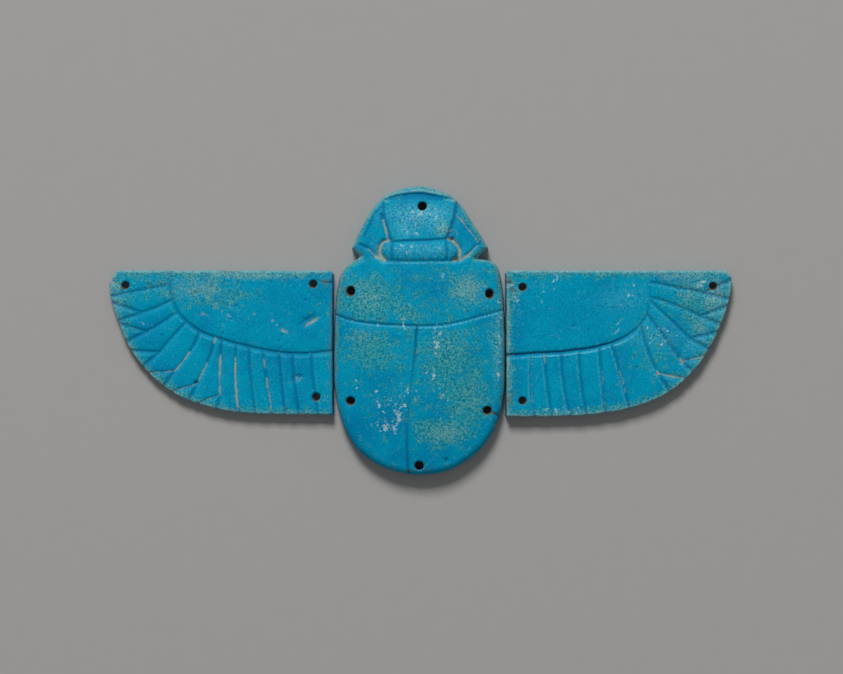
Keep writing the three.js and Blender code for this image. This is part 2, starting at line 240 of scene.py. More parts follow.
# Marks of age in the photograph's pixels: across, down, radius, and strength or depth in millimetres.
SALT_MARKS = (
    (386, 426, 3.6, 1), (395, 429, 2.6, 1), (400, 417, 3.4, 1), (405, 405, 2, 1), (401, 396, 1.6, 1),
    (408, 389, 1.4, 0.8), (377, 391, 1.4, 0.9), (357, 387, 1.4, 0.8), (363, 378, 1.3, 0.8),
    (385, 396, 1.4, 1), (380, 405, 1.8, 1), (388, 405, 1.3, 0.9), (383, 411, 1.4, 0.9),
    (379, 413, 1.3, 0.9), (391, 400, 1.3, 0.8), (416, 390, 1.3, 0.8), (415, 398, 1.3, 0.8),
    (423, 405, 1.3, 0.8), (443, 277, 1.8, 0.7), (441, 332, 2, 0.9), (439, 343, 1.8, 0.7),
    (435, 353, 1.8, 0.7), (434, 375, 2.2, 0.8), (443, 395, 1.5, 0.8), (405, 329, 1.8, 0.8),
    (402, 320, 1.9, 0.8), (378, 326, 1.5, 0.7), (404, 226, 1.5, 0.8), (406, 232, 1.6, 0.8),
    (409, 237, 1.8, 0.8), (415, 230, 1.4, 0.6), (417, 236, 1.6, 0.7), (401, 246, 1.6, 0.8),
    (412, 248, 2.2, 0.8), (407, 254, 1.6, 0.7), (401, 257, 1.3, 0.7), (499, 302, 1.8, 0.9),
    (500, 318, 1.9, 0.9), (499, 342, 1.8, 0.9), (497, 360, 1.3, 0.8), (499, 374, 2.4, 0.9),
    (142, 322, 1.3, 0.8), (144.5, 327, 1.2, 0.8), (697, 285, 3, 0.8), (702, 282, 2.6, 0.8),
    (633, 286, 1.5, 0.9), (628, 296, 1.8, 0.9), (621, 305, 1.3, 0.8), (620, 321, 1.2, 0.8),
    (625, 324, 1.3, 0.8), (613, 334, 1.2, 0.7), (613, 338, 1.2, 0.7), (647, 328, 1.5, 0.9),
    (658, 328, 1.2, 0.8), (662, 328, 1.2, 0.7), (667, 331, 1.5, 0.9), (671, 332, 1.3, 0.8),
    (676, 335, 1.5, 0.9), (649, 338, 1.3, 0.8), (649, 343, 1.2, 0.8), (656, 342, 1.3, 0.8),
    (660, 344, 1.8, 0.9), (562, 272, 1.5, 0.8), (565, 274, 1.4, 0.8), (557, 279, 1.5, 0.8),
    (553, 281, 1.5, 0.8), (547, 281, 1.2, 0.7), (550, 287, 1.2, 0.7), (543, 292, 1.2, 0.7),
    (541, 302, 1.2, 0.6), (578, 408, 2.6, 0.6),
)
CORE_MARKS = (
    (283, 330, 2.2, 0.9), (277.5, 325, 1.4, 0.9), (273, 320.5, 1.2, 0.8), (229, 316, 2.4, 0.7),
    (255.5, 314, 1.8, 0.7), (204, 313, 3, 0.6), (216, 308, 2.6, 0.6), (309, 323, 1.8, 0.9),
    (313, 320.5, 1.6, 0.9), (317, 318, 1.5, 0.8), (298, 378, 3, 0.4), (114, 282.5, 2, 0.9),
    (681, 363, 2.2, 0.8), (657, 374, 1.8, 0.8), (512, 284.5, 2.4, 0.7), (346, 252, 1.5, 0.6),
)
BROWN_MARKS = (
    (512, 290, 5, 0.5), (326, 282, 5, 0.6), (515, 397, 2, 0.6),
    (451.5, 240, 2, 1), (457, 260, 2.2, 1), (494, 413, 2.6, 0.8), (112, 283, 2.5, 0.5),
)
PIT_MARKS = (
    (197, 382.5, 2, 0.8), (197, 293, 1.2, 0.3), (237, 306, 1.2, 0.3), (272, 282, 1.2, 0.3),
    (306, 300, 1.2, 0.3), (283, 335, 1.1, 0.25), (232.5, 319.5, 1.1, 0.25), (224.5, 333, 1.1, 0.25),
    (149.5, 285, 1.1, 0.25), (163, 335, 1.1, 0.25), (280, 341, 1.1, 0.25), (573, 326, 1.2, 0.3),
    (612, 308, 1.1, 0.25), (567, 358, 1.1, 0.25), (588, 330, 1.1, 0.25), (636, 367, 1.3, 0.3),
    (446.5, 459.5, 1.8, 0.6), (451.5, 240, 1.9, 0.8), (457, 260, 2, 0.8), (311, 320, 6, 0.28),
    (298, 378, 5, 0.25),
)
RIM_CHIPS = (
    (222.5, 271, 2, 0.5), (235, 271, 2, 0.5), (303, 271, 1.6, 0.35), (113, 281, 3, 0.5),
    (332, 284, 2.5, 0.4), (508, 284, 2.5, 0.4), (501, 414, 3, 0.5), (353, 249, 2, 0.3),
    (640, 405, 2, 0.25), (160, 383, 2, 0.3), (727, 272, 2, 0.3), (422, 187, 2, 0.25),
)

# Scratches, cracks and streaks: stations in pixels, width and depth in millimetres, the finish
# they show and how much.
SCRATCHES = (
    (((305, 326), (312, 322), (320, 316.5)), 1.3, 0.3, "core", 0.9),
    (((302, 318), (308, 319), (315, 314)), 0.9, 0.25, "pool", 0.7),
    (((300, 325), (305, 321), (309, 321)), 0.7, 0.2, "pool", 0.6),
    (((281, 327), (284, 331), (287, 332)), 1.2, 0.2, "core", 0.7),
    (((294, 379), (298, 375), (304, 377)), 0.7, 0.2, "pool", 0.6),
    (((296, 381), (300, 380), (303, 374)), 0.6, 0.2, "core", 0.5),
    (((225, 313), (231, 316), (236, 318)), 0.9, 0.1, "core", 0.55),
    (((202, 309), (207, 315), (213, 313)), 0.7, 0.1, "core", 0.4),
    (((110, 280), (115, 283), (120, 285.5)), 0.8, 0.2, "core", 0.7),
    (((317, 281), (325, 283), (333, 283)), 0.7, 0.2, "brown", 0.6),
    (((504, 284), (512, 284.5), (518, 286)), 0.6, 0.2, "core", 0.6),
    (((490, 413), (495, 414), (503, 419)), 0.7, 0.5, "pool", 1.0),
    (((402, 318), (404, 325), (405, 331)), 0.6, 0.05, "salt", 0.75),
    (((404, 223), (406, 231), (410, 239)), 0.7, 0.05, "salt", 0.8),
    (((414, 226), (416, 233), (417, 238)), 0.6, 0.05, "salt", 0.6),
    (((437, 329), (439, 334), (441, 331)), 0.8, 0.05, "salt", 0.8),
    (((434, 342), (438, 346), (440, 350)), 0.7, 0.05, "salt", 0.7),
    (((431, 354), (435, 357), (437, 362)), 0.7, 0.05, "salt", 0.7),
    (((381, 424), (386, 430), (389, 426)), 0.9, 0.05, "salt", 0.9),
    (((393, 427), (399, 421), (402, 414)), 0.9, 0.05, "salt", 0.8),
    (((398, 409), (403, 405), (406, 399)), 0.7, 0.05, "salt", 0.8),
    (((407, 392), (408, 386), (409, 382)), 0.5, 0.05, "salt", 0.7),
    (((376, 392), (379, 399), (380, 409)), 0.6, 0.05, "salt", 0.6),
    (((498, 335), (500, 350), (499, 372)), 0.6, 0.05, "salt", 0.6),
    (((694, 288), (698, 283), (704, 281)), 1.3, 0.05, "salt", 0.7),
)

# Clouds in the glaze, in pixels: across, down, half width, half height and strength.
PALE_CLOUDS = (
    (443, 229, 9, 9, 0.9),
    (200, 288, 40, 16, 0.75), (250, 275, 90, 7, 0.8), (508, 345, 3.5, 90, 0.8),
    (115, 300, 14, 40, 0.7), (160, 280, 32, 8, 0.5), (125, 290, 14, 14, 0.5), (540, 284, 26, 8, 0.3),
    (620, 273, 80, 5, 0.5), (680, 276, 40, 8, 0.8), (714, 296, 14, 26, 0.9), (700, 330, 14, 18, 0.7),
    (640, 292, 14, 18, 0.3),
    (690, 292, 20, 16, 0.6), (690, 350, 12, 12, 0.5), (514, 300, 7, 26, 0.5),
    (565, 412, 60, 4, 0.5), (366, 296, 26, 20, 0.6), (468, 290, 24, 20, 0.8), (420, 220, 28, 12, 0.5),
    (445, 432, 26, 14, 0.75), (472, 396, 20, 30, 0.5), (364, 336, 22, 12, 0.5), (492, 345, 12, 34, 0.3),
    (450, 350, 26, 26, 0.45), (398, 308, 24, 8, 0.45),
    (420, 250, 26, 6, 0.35), (405, 395, 26, 20, 0.3), (225, 300, 30, 18, 0.4), (360, 262, 8, 5, 0.5),
)
GREEN_CLOUDS = (
    (370, 298, 36, 26, 0.95), (466, 290, 24, 24, 0.8), (402, 308, 28, 10, 0.8), (372, 352, 34, 24, 0.85),
    (448, 360, 36, 36, 0.85), (466, 396, 30, 40, 0.85), (442, 432, 34, 16, 0.95), (420, 330, 95, 130, 0.4),
    (700, 300, 36, 40, 0.8), (655, 350, 40, 40, 0.45), (120, 310, 20, 40, 0.6),
    (215, 290, 50, 22, 0.6), (160, 290, 30, 24, 0.5), (508, 345, 5, 90, 0.8),
    (412, 314, 16, 9, 0.9), (494, 345, 9, 40, 0.6), (120, 300, 16, 26, 0.5), (716, 300, 16, 24, 0.45),
    (560, 414, 70, 4, 0.7), (240, 273, 110, 4, 0.5), (515, 288, 10, 10, 0.6), (443, 229, 10, 10, 0.9),
    (394, 195, 22, 6, 0.6), (450, 350, 28, 24, 0.5),
)
# Deeper blue. The clouds at 421, 198 under the crescent's front edge and at 425, 256 along the foot of the
# neck bar are painted shade.
DEEP_CLOUDS = (
    (362, 430, 30, 30, 0.8), (390, 420, 26, 24, 0.9), (430, 290, 16, 24, 0.5),
    (355, 385, 16, 18, 0.3), (420, 458, 40, 10, 0.7),
    (575, 315, 44, 24, 0.35), (292, 310, 38, 26, 0.3), (640, 400, 60, 8, 0.3), (421, 198, 32, 4, 0.8),
    (367, 232, 12, 14, 0.5), (470, 232, 10, 14, 0.5), (425, 256, 34, 4, 0.5),
    (515, 380, 12, 24, 0.5), (300, 400, 30, 12, 0.3), (482, 440, 16, 22, 0.4),
)
FROST_CLOUDS = (
    (425, 214, 26, 9, 0.36), (404, 230, 4, 10, 0.5), (416, 232, 3, 8, 0.45),
    (402, 250, 6, 7, 0.4), (410, 252, 4, 6, 0.4), (438, 250, 6, 8, 0.25), (436, 338, 6, 14, 0.5),
    (437, 352, 4, 10, 0.45), (433, 377, 6, 12, 0.42), (443, 392, 5, 10, 0.35), (385, 424, 12, 8, 0.45),
    (398, 414, 6, 12, 0.5), (404, 398, 5, 12, 0.42), (380, 404, 10, 12, 0.36), (357, 384, 5, 6, 0.35),
    (443, 277, 4, 4, 0.45), (403, 322, 6, 6, 0.35), (499, 345, 3.5, 40, 0.42), (455, 420, 20, 20, 0.22),
    (698, 284, 7, 5, 0.5), (630, 292, 5, 8, 0.36), (615, 330, 5, 10, 0.3), (662, 335, 14, 9, 0.34),
    (560, 275, 10, 4, 0.36), (550, 286, 8, 6, 0.26), (575, 411, 50, 4, 0.3), (560, 271, 50, 2.5, 0.36),
    (143, 322, 3, 4, 0.4), (128, 300, 12, 26, 0.18), (370, 302, 22, 14, 0.22), (515, 300, 6, 10, 0.3),
)
THIN_CLOUDS = (
    (420, 214, 32, 8, 0.9), (436, 222, 12, 12, 0.6), (406, 226, 12, 12, 0.6), (420, 250, 34, 7, 0.35),
    (497, 345, 5, 40, 0.4), (345, 212, 5, 30, 0.2), (620, 300, 20, 12, 0.25), (655, 335, 20, 14, 0.3),
)
# Brown stain. The two long clouds at 331.5 and 506 across, along the edges beside the gaps, are painted
# shade.
STAIN_AND_GAP_SHADE_CLOUDS = (
    (331.5, 345, 2.2, 90, 0.45), (506, 345, 1.6, 90, 0.4), (421, 470, 60, 5, 0.3), (507, 282, 8, 5, 0.5),
    (508, 400, 5, 14, 0.5), (386, 192, 10, 4, 0.3), (345, 290, 6, 12, 0.35), (227, 272, 14, 2, 0.5),
)
SPECK_CLOUDS = (
    (205, 300, 36, 22, 0.5), (250, 285, 60, 14, 0.3), (508, 345, 4, 90, 0.8), (225, 314, 30, 8, 0.9),
    (452, 426, 34, 30, 0.7), (372, 325, 34, 30, 0.7), (412, 312, 18, 9, 1.0), (438, 360, 12, 40, 0.7),
    (462, 300, 30, 26, 0.5), (420, 225, 30, 18, 0.3), (640, 310, 30, 30, 0.3),
)

# The finish that each set of marks and clouds raises.
AGE_MARKS = (
    ("salt", SALT_MARKS), ("core", CORE_MARKS), ("brown", BROWN_MARKS),
    ("pale", PALE_CLOUDS), ("green", GREEN_CLOUDS), ("deep", DEEP_CLOUDS), ("speck", SPECK_CLOUDS),
    ("salt", FROST_CLOUDS), ("lip", THIN_CLOUDS), ("brown", STAIN_AND_GAP_SHADE_CLOUDS),
)


def scarab_lines():
    """Every carved line of the scarab, in shares of its width and length."""
    thorax_foot = (
        (-0.52, 0.064), (-0.399, 0.037), (-0.233, 0.024), (0, 0.018), (0.2, 0.027), (0.52, 0.078),
    )
    left_arm = ((-0.352, 0.298), (-0.305, 0.284), (-0.255, 0.257), (-0.205, 0.245))
    right_arm = ((0.353, 0.302), (0.32, 0.282), (0.285, 0.26), (0.24, 0.245))
    left_recess = ((-0.185, 0.312), (-0.222, 0.3), (-0.234, 0.27), (-0.205, 0.243))
    right_recess = ((0.17, 0.318), (0.2, 0.308), (0.232, 0.284), (0.228, 0.256), (0.2, 0.242))
    seam = ((-0.014, 0.014), (-0.03, -0.1), (-0.063, -0.248), (-0.074, -0.39), (-0.06, -0.52))
    return (
        Line(
            thorax_foot, 0.8, 0.36, steep=1.0, roll=0.05,
            dark=(1.3, 1.2, 0.8, 0.7), lip=(0.2, 0.5, 1.2, 1.2),
        ),
        Line(seam, 0.95, 0.26, roll=0.06, dark=(1.6, 0.9, 0.4, 0.5, 1.2, 1.4)),
        Line(((-0.216, 0.447), (-0.208, 0.4), (-0.186, 0.345), (-0.162, 0.308)), 0.9, 0.5),
        Line(((0.223, 0.44), (0.21, 0.4), (0.185, 0.355), (0.161, 0.314)), 1.5, 0.6),
        Line(((-0.17, 0.308), (0, 0.312), (0.169, 0.318)), 0.9, 0.45, steep=1.0),
        Line(
            ((-0.222, 0.243), (0, 0.241), (0.23, 0.244)), 0.9, 0.2, steep=1.0,
            dark=(0.5,), lip=(0.8,),
        ),
        Line(((-0.222, 0.43), (-0.269, 0.396), (-0.328, 0.325)), 0.9, 0.35, dark=(0.8,)),
        Line(left_arm, 1.2, 0.5, bare=((0.3, 1.0, 0.8),)),
        Line(left_arm[2:], 2.4, 0.5, bare=((0.0, 1.0, 1.0),)),
        Line(((0.223, 0.399), (0.288, 0.35), (0.35, 0.3)), 0.9, 0.45, bare=((0.0, 0.95, 0.8),)),
        Line(right_arm, 1.2, 0.4, bare=((0.1, 1.0, 0.8),)),
        Line(right_arm[2:], 1.9, 0.4, bare=((0.0, 1.0, 0.8),)),
        Line(((-0.222, 0.4), (-0.204, 0.36), (-0.185, 0.312)), 1.4, 0.6, bare=((0.2, 1.0, 0.9),)),
        Line(left_recess, 2.0, 0.9, bare=((0.0, 1.0, 1.0),)),
        Line(((0.187, 0.352), (0.178, 0.329), (0.185, 0.312)), 1.0, 0.7, bare=((0.0, 1.0, 0.6),)),
        Line(right_recess, 1.9, 0.85, bare=((0.0, 1.0, 1.0),)),
        Line(((-0.156, 0.305), (-0.163, 0.275), (-0.16, 0.245)), 1.0, 0.35, dark=(0.9,)),
        Line(((0.158, 0.308), (0.162, 0.275), (0.16, 0.245)), 1.0, 0.35, dark=(0.9,)),
    )


def linear(hex_colour, shade=1.0):
    """An sRGB hex colour as linear red, green, blue and alpha, made lighter or darker by its shade."""
    parts = [int(hex_colour[i:i + 2], 16) / 255 for i in (1, 3, 5)]
    light = [c / 12.92 if c <= 0.04045 else ((c + 0.055) / 1.055) ** 2.4 for c in parts]
    return tuple(shade * part for part in light) + (1.0,)


def photo_place(across, down):
    """The place on the floor, in millimetres, under a pixel of the photograph."""
    return np.array([(across - PHOTO_MIDDLE[0]) * PIXEL, (PHOTO_MIDDLE[1] - down) * PIXEL])


def smooth_line(stations, scale=1, steps=14):
    """A smooth line through a few stations, with a few places between each two of them."""
    points = np.array(stations, float) * scale
    before = 2 * points[0] - points[1]
    after = 2 * points[-1] - points[-2]
    padded = np.vstack([before, points, after])
    drawn = []
    for p0, p1, p2, p3 in zip(padded[:-3], padded[1:-2], padded[2:-1], padded[3:]):
        for t in np.linspace(0, 1, steps, endpoint=False):
            pull = (-p0 + 3 * p1 - 3 * p2 + p3) * t ** 3 + (2 * p0 - 5 * p1 + 4 * p2 - p3) * t ** 2
            drawn.append(0.5 * (pull + (p2 - p0) * t + 2 * p1))
    drawn.append(points[-1])
    return np.array(drawn)


def run_of(line):
    """The distance run at each place of a line."""
    return np.concatenate([[0], np.cumsum(np.hypot(*np.diff(line, axis=0).T))])


def evenly(line):
    """The same line with its places one outline step apart."""
    run = run_of(line)
    count = max(2, round(run[-1] / OUTLINE_STEP))
    marks = np.linspace(0, run[-1], count + 1)
    return np.column_stack([np.interp(marks, run, line[:, 0]), np.interp(marks, run, line[:, 1])])


def place_at(line, share):
    """The place at a share of a line's length."""
    run = run_of(line)
    return np.array([np.interp(share * run[-1], run, line[:, axis]) for axis in (0, 1)])


def bowed(start, end, bow=0.0):
    """A line from start to end that bows to its left by a share of its length."""
    way = end - start
    control = (start + end) / 2 + 2 * bow * np.array([-way[1], way[0]])
    t = np.linspace(0, 1, BOW_PLACES)[:, None]
    return (1 - t) ** 2 * start + 2 * t * (1 - t) * control + t ** 2 * end


def nearest(places, line):
    """For each place: how far the line is, on which side (left is 1), and the share along it."""
    away = np.full(len(places), 1e6)
    side = np.ones(len(places))
    share = np.zeros(len(places))
    run = run_of(line)
    for index, (start, end) in enumerate(zip(line[:-1], line[1:])):
        length = run[index + 1] - run[index]
        way = (end - start) / length
        offset = places - start
        along = np.clip(offset @ way, 0, length)
        gap = offset - along[:, None] * way
        distance = np.hypot(gap[:, 0], gap[:, 1])
        closer = distance < away
        away[closer] = distance[closer]
        turn = way[0] * offset[:, 1] - way[1] * offset[:, 0]
        side[closer] = np.where(turn[closer] >= 0, 1, -1)
        share[closer] = (run[index] + along[closer]) / run[-1]
    return away, side, share


def inside(places, outline):
    """Whether each place lies inside a closed outline."""
    within = np.zeros(len(places), bool)
    x, y = places[:, 0], places[:, 1]
    for (x1, y1), (x2, y2) in zip(outline, np.roll(outline, -1, axis=0)):
        if y1 == y2:
            continue
        crossing = (y1 > y) != (y2 > y)
        within ^= crossing & (x < (x2 - x1) * (y - y1) / (y2 - y1) + x1)
    return within


def bell(distance, reach, power=2):
    """How near something is: 1 at no distance, and nothing well beyond the reach."""
    return np.exp(-(distance / reach) ** power)


def run_through(share, values):
    """A value at a share of a line, from a few values spaced evenly from its start to its end."""
    return np.interp(share, np.linspace(0, 1, len(values)), values)


def falloff(places, across, down, half_width, half_height=None):
    """How near each place is to a mark, from 1 at its middle to nothing well outside it."""
    reach = np.array([half_width, half_height or half_width]) * PIXEL
    return np.exp(-(((places - photo_place(across, down)) / reach) ** 2).sum(axis=1))


def unevenness(places, scale, seed):
    """Slow hand-made unevenness, about -1 to 1, with bumps of the given size in millimetres."""
    shift = Vector((seed * 17.3, seed * 5.1, seed))
    return np.array([noise.noise(Vector((x / scale, y / scale, 0)) + shift) for x, y in places])


class Skin:
    """Heights and finish of one piece, worked out at each of its mesh points."""

    CHANNELS = ("pool", "core", "salt", "pale", "green", "deep", "brown", "speck", "rim", "lip")

    # Across a carved line, as shares of its width.
    SHADED_FOOT = 0.33
    BARE_FOOT = 0.27
    LIP_PLACE = 0.6
    LEAN = 0.4
    FOOT_POWER = 1.2
    # In millimetres: the thin lip with its painted highlight, the roll beside a line, and how far a line
    # can reach at all.
    LIP_REACH = 0.17
    ROLL_REACH = 1.1
    FURTHEST = 3
    # Along a line: how fast a bare stretch sets in, and how much of the shade it takes away.
    BARE_EASE = 0.05
    BARE_LIGHT = 0.7
    # A worn thread hole: depth and width of its funnel, and how far it and its stain pass the wall.
    MOUTH_DEPTH = 1.3
    MOUTH_REACH = 0.55
    MOUTH_START = 0.05
    STAIN_REACH = 0.15
    STAIN_START = 0.02
    # Pits: only those of a radius below this many pixels hold pooled glaze and painted shade, and how much
    # it shows.
    SMALL_PIT = 3
    PIT_SHADE = 0.8
    # A scratch: its spread as a share of its width, and the part of a half wave that it swells by.
    SCRATCH_SPREAD = 0.4
    SCRATCH_START = 0.15
    SCRATCH_RUN = 0.7

    def __init__(self, places, outline):
        self.places = places
        self.cut = np.zeros(len(places))
        self.value = {name: np.zeros(len(places)) for name in self.CHANNELS}
        closed = np.vstack([outline, outline[:1]])
        away, _, _ = nearest(places, closed)
        self.rim_distance = np.where(inside(places, outline), away, 0)

    def raise_to(self, channel, amount, where=slice(None)):
        """Brings a finish up to an amount wherever it is weaker."""
        self.value[channel][where] = np.maximum(self.value[channel][where], amount)

    def along_rim(self, channel, amount, reach):
        """A finish that is strongest at the rim and gone well beyond its reach in millimetres."""
        self.raise_to(channel, amount * bell(self.rim_distance, reach))

    def beside(self, path):
        """Which places lie close enough to a line for it to reach them."""
        low, high = path.min(0) - self.FURTHEST, path.max(0) + self.FURTHEST
        return np.all((self.places > low) & (self.places < high), axis=1)

    def carve(self, line, path):
        """Cuts one line, with pooled glaze and painted shade in its foot, a thin lip that is partly a
        painted highlight, and core where it is worn bare.
        """
        near = self.beside(path)
        away, side, share = nearest(self.places[near], path)
        half = line.width / 2 * (1 - self.LEAN * line.steep * side)
        strength = run_through(share, line.dark)
        depth = line.depth * strength * np.clip(1 - away / half, 0, 1) ** self.FOOT_POWER
        depth += line.roll * bell(away, self.ROLL_REACH)
        self.cut[near] = np.maximum(self.cut[near], depth)
        # The foot of the line gets pooled glaze and painted shade.
        shade = strength * bell(away, self.SHADED_FOOT * line.width)
        for start, end, worn in line.bare:
            ease = np.clip(np.minimum(share - start, end - share) / self.BARE_EASE + 1, 0, 1)
            self.raise_to("core", worn * ease * bell(away, self.BARE_FOOT * line.width), near)
            shade *= 1 - self.BARE_LIGHT * worn * ease
        self.raise_to("pool", shade, near)
        # A pale lip on the gentler side: thin glaze with a painted highlight.
        beyond = -np.sign(line.steep) * side * away - self.LIP_PLACE * line.width
        self.raise_to("lip", run_through(share, line.lip) * bell(beyond, self.LIP_REACH), near)

    def wear_mouths(self, bores, origin):
        """The mouth of each thread hole, worn by the thread into a funnel and stained."""
        for place, width, length in bores:
            offset = self.places - (place + origin)
            away = np.hypot(offset[:, 0], offset[:, 1] * width / length)
            funnel = np.clip((width / 2 + self.MOUTH_START - away) / self.MOUTH_REACH, 0, 1)
            self.cut += self.MOUTH_DEPTH * funnel
            stain = (width / 2 + self.STAIN_START - away) / self.STAIN_REACH
            self.raise_to("brown", np.clip(stain, 0, 1))

    def age(self):
        """Marks, clouds, pits and scratches that the piece carries from its long burial, with some clouds
        of painted shade among them.
        """
        for channel, marks in AGE_MARKS:
            for across, down, *size, strength in marks:
                self.raise_to(channel, strength * falloff(self.places, across, down, *size))
        for across, down, radius, depth in PIT_MARKS:
            pit = falloff(self.places, across, down, radius)
            self.cut += depth * pit
            if radius < self.SMALL_PIT:
                self.raise_to("pool", self.PIT_SHADE * pit)
        for stations, width, depth, channel, strength in SCRATCHES:
            path = smooth_line([photo_place(*station) for station in stations])
            near = self.beside(path)
            away, _, share = nearest(self.places[near], path)
            swell = np.sin(math.pi * (self.SCRATCH_START + self.SCRATCH_RUN * share))
            trace = bell(away, self.SCRATCH_SPREAD * width) * swell
            self.cut[near] += depth * trace
            self.raise_to(channel, strength * trace, near)
        for across, down, radius, depth in RIM_CHIPS:
            self.cut += depth * falloff(self.places, across, down, radius)

    def rounding(self, radius):
        """How far the top has rounded down towards the side."""
        inwards = np.clip(radius - self.rim_distance, 0, radius)
        return radius - np.sqrt(np.maximum(radius ** 2 - inwards ** 2, 0))


def add_object(name, data):
    """Adds an object with this data to the scene."""
    made = bpy.data.objects.new(name, data)
    bpy.context.scene.collection.objects.link(made)
    return made


def add_mesh(name, form):
    """Hands a finished bmesh over to a new object of the scene."""
    mesh = bpy.data.meshes.new(name)
    form.to_mesh(mesh)
    form.free()
    return add_object(name, mesh)


def cutter(bores, height):
    """One mesh of upright pins, one for each thread hole, a little inward of its worn mouth."""
    pins = bmesh.new()
    for place, width, length in bores:
        worn = min(1, abs(place[0]) / WORN_FROM)
        inward = place[0] - PIN_INWARD * worn * math.copysign(1, place[0])
        middle = (inward, place[1] + PIN_UPWARD * worn, height / 2)
        narrower = PIN_PLAY + PIN_WORN_PLAY * worn
        stretch = Matrix.Diagonal((width / 2 - narrower, length / 2 - narrower, 3 * height, 1))
        bmesh.ops.create_cone(
            pins, cap_ends=True, segments=40, radius1=1, radius2=1, depth=1,
            matrix=Matrix.Translation(middle) @ stretch,
        )
    return add_mesh("thread hole pins", pins)


def blank(name, outline, height, bores, voxel):
    """A flat tile of even thickness with its thread holes bored, meshed finely enough to carve."""
    tile = bmesh.new()
    face = tile.faces.new([tile.verts.new((x, y, 0)) for x, y in outline])
    grown = bmesh.ops.extrude_face_region(tile, geom=[face])
    top = [item for item in grown["geom"] if isinstance(item, bmesh.types.BMVert)]
    bmesh.ops.translate(tile, vec=(0, 0, height), verts=top)
    bmesh.ops.recalc_face_normals(tile, faces=tile.faces)
    piece = add_mesh(name, tile)
    pins = cutter(bores, height)
    drill = piece.modifiers.new("thread holes", "BOOLEAN")
    drill.operation = "DIFFERENCE"
    drill.object = pins
    fine = piece.modifiers.new("fine clay", "REMESH")
    fine.mode = "VOXEL"
    fine.voxel_size = voxel
    graph = bpy.context.evaluated_depsgraph_get()
    carved = bpy.data.meshes.new_from_object(piece.evaluated_get(graph))
    piece.modifiers.clear()
    piece.data = carved
    carved.name = name
    bpy.data.objects.remove(pins)
    return piece


def mesh_points(mesh):
    """The mesh's points as an array."""
    flat = np.empty(len(mesh.vertices) * 3)
    mesh.vertices.foreach_get("co", flat)
    return flat.reshape(-1, 3)


def finish_piece(piece, skin, top, blank_height, origin, flare):
    """Gives the blank its carved top, writes the finish channels and hands the piece over.

    The walls slope out to their foot by the flare, which closes the gaps beside them.
    """
    mesh = piece.data
    points = mesh_points(mesh)
    share = np.clip(points[:, 2] / blank_height, 0, 1)
    points[:, 2] = share * np.maximum(top - skin.cut, THINNEST)
    wobble = np.column_stack([unevenness(points[:, :2], WOBBLE_SIZE, seed) for seed in WOBBLE_SEEDS])
    points[:, 0] += flare * (1 - share) * bell(skin.rim_distance, FLARE_REACH)
    points[:, :2] += origin + WOBBLE * wobble
    mesh.vertices.foreach_set("co", (points * MM).ravel())
    upright = WALL_FINISH + (1 - WALL_FINISH) * share ** 3
    for name, amount in skin.value.items():
        layer = mesh.attributes.new(name, "FLOAT", "POINT")
        layer.data.foreach_set("value", np.clip(amount, 0, 1) * upright)
    mesh.shade_smooth()
    mesh.update()
    mesh.materials.append(faience())
    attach(piece, "root")


class Recipe:
    """One material in the making: grain in millimetres, sums of values, and coats of colour."""

    def __init__(self, name, ground):
        self.material = bpy.data.materials.new(name)
        self.material.use_nodes = True
        self.tree = self.material.node_tree
        self.tree.nodes.clear()
        self.place = self.node("ShaderNodeTexCoord", {}).outputs["Object"]
        self.colour = ground

    def node(self, kind, values):
        """Adds a node. A socket is linked to the input that it names, and a value sets it."""
        made = self.tree.nodes.new(kind)
        for key, value in values.items():
            if isinstance(value, bpy.types.NodeSocket):
                self.tree.links.new(value, made.inputs[key])
            elif isinstance(key, int) or key in made.inputs:
                made.inputs[key].default_value = value
            else:
                setattr(made, key, value)
        return made

    def channel(self, name):
        return self.node("ShaderNodeAttribute", {"attribute_name": name}).outputs["Fac"]

    def grain(self, size, detail, roughness=0.5):
        """Noise whose bumps measure about size millimetres."""
        values = {
            "Vector": self.place, "Scale": 1 / (size * MM), "Detail": detail, "Roughness": roughness,
        }
        return self.node("ShaderNodeTexNoise", values).outputs["Fac"]

    def cells(self, size):
        """The distance to the nearest of many scattered points, about size millimetres apart."""
        values = {"Vector": self.place, "Scale": 1 / (size * MM)}
        return self.node("ShaderNodeTexVoronoi", values).outputs["Distance"]

    def between(self, value, low, high):
        """Rises smoothly from 0 at low to 1 at high."""
        values = {"interpolation_type": "SMOOTHSTEP", "Value": value, "From Min": low, "From Max": high}
        return self.node("ShaderNodeMapRange", values).outputs["Result"]

    def combine(self, operation, first, second, clamp=False):
        values = {"operation": operation, "use_clamp": clamp, 0: first, 1: second}
        return self.node("ShaderNodeMath", values).outputs[0]

    def plus(self, first, second, clamp=False):
        return self.combine("ADD", first, second, clamp)

    def minus(self, first, second):
        return self.combine("SUBTRACT", first, second)

    def times(self, first, second):
        return self.combine("MULTIPLY", first, second)

    def more(self, first, second):
        return self.combine("MAXIMUM", first, second)

    def coat(self, colour, amount, cover=None):
        """Lays a colour over the ones below it, covering them at most by a share."""
        if cover is not None:
            amount = self.times(amount, cover)
        values = {"data_type": "RGBA", 6: self.colour, 7: colour, 0: amount}
        self.colour = self.node("ShaderNodeMix", values).outputs[2]

    def uneven(self, name, grain, weight):
        """One finish channel with its edge broken up by grain."""
        return self.plus(self.channel(name), self.times(self.minus(grain, 0.5), weight))

    def mostly(self, name):
        """How strongly specks show: fully inside their own clouds, faintly elsewhere."""
        return self.plus(self.times(self.channel(name), 3.0), 0.35, True)

    def finished(self, surface):
        """Gives the colours their surface and hands the material over."""
        shader = self.node("ShaderNodeBsdfPrincipled", {"Base Color": self.colour, **surface})
        self.node("ShaderNodeOutputMaterial", {"Surface": shader.outputs[0]})
        return self.material


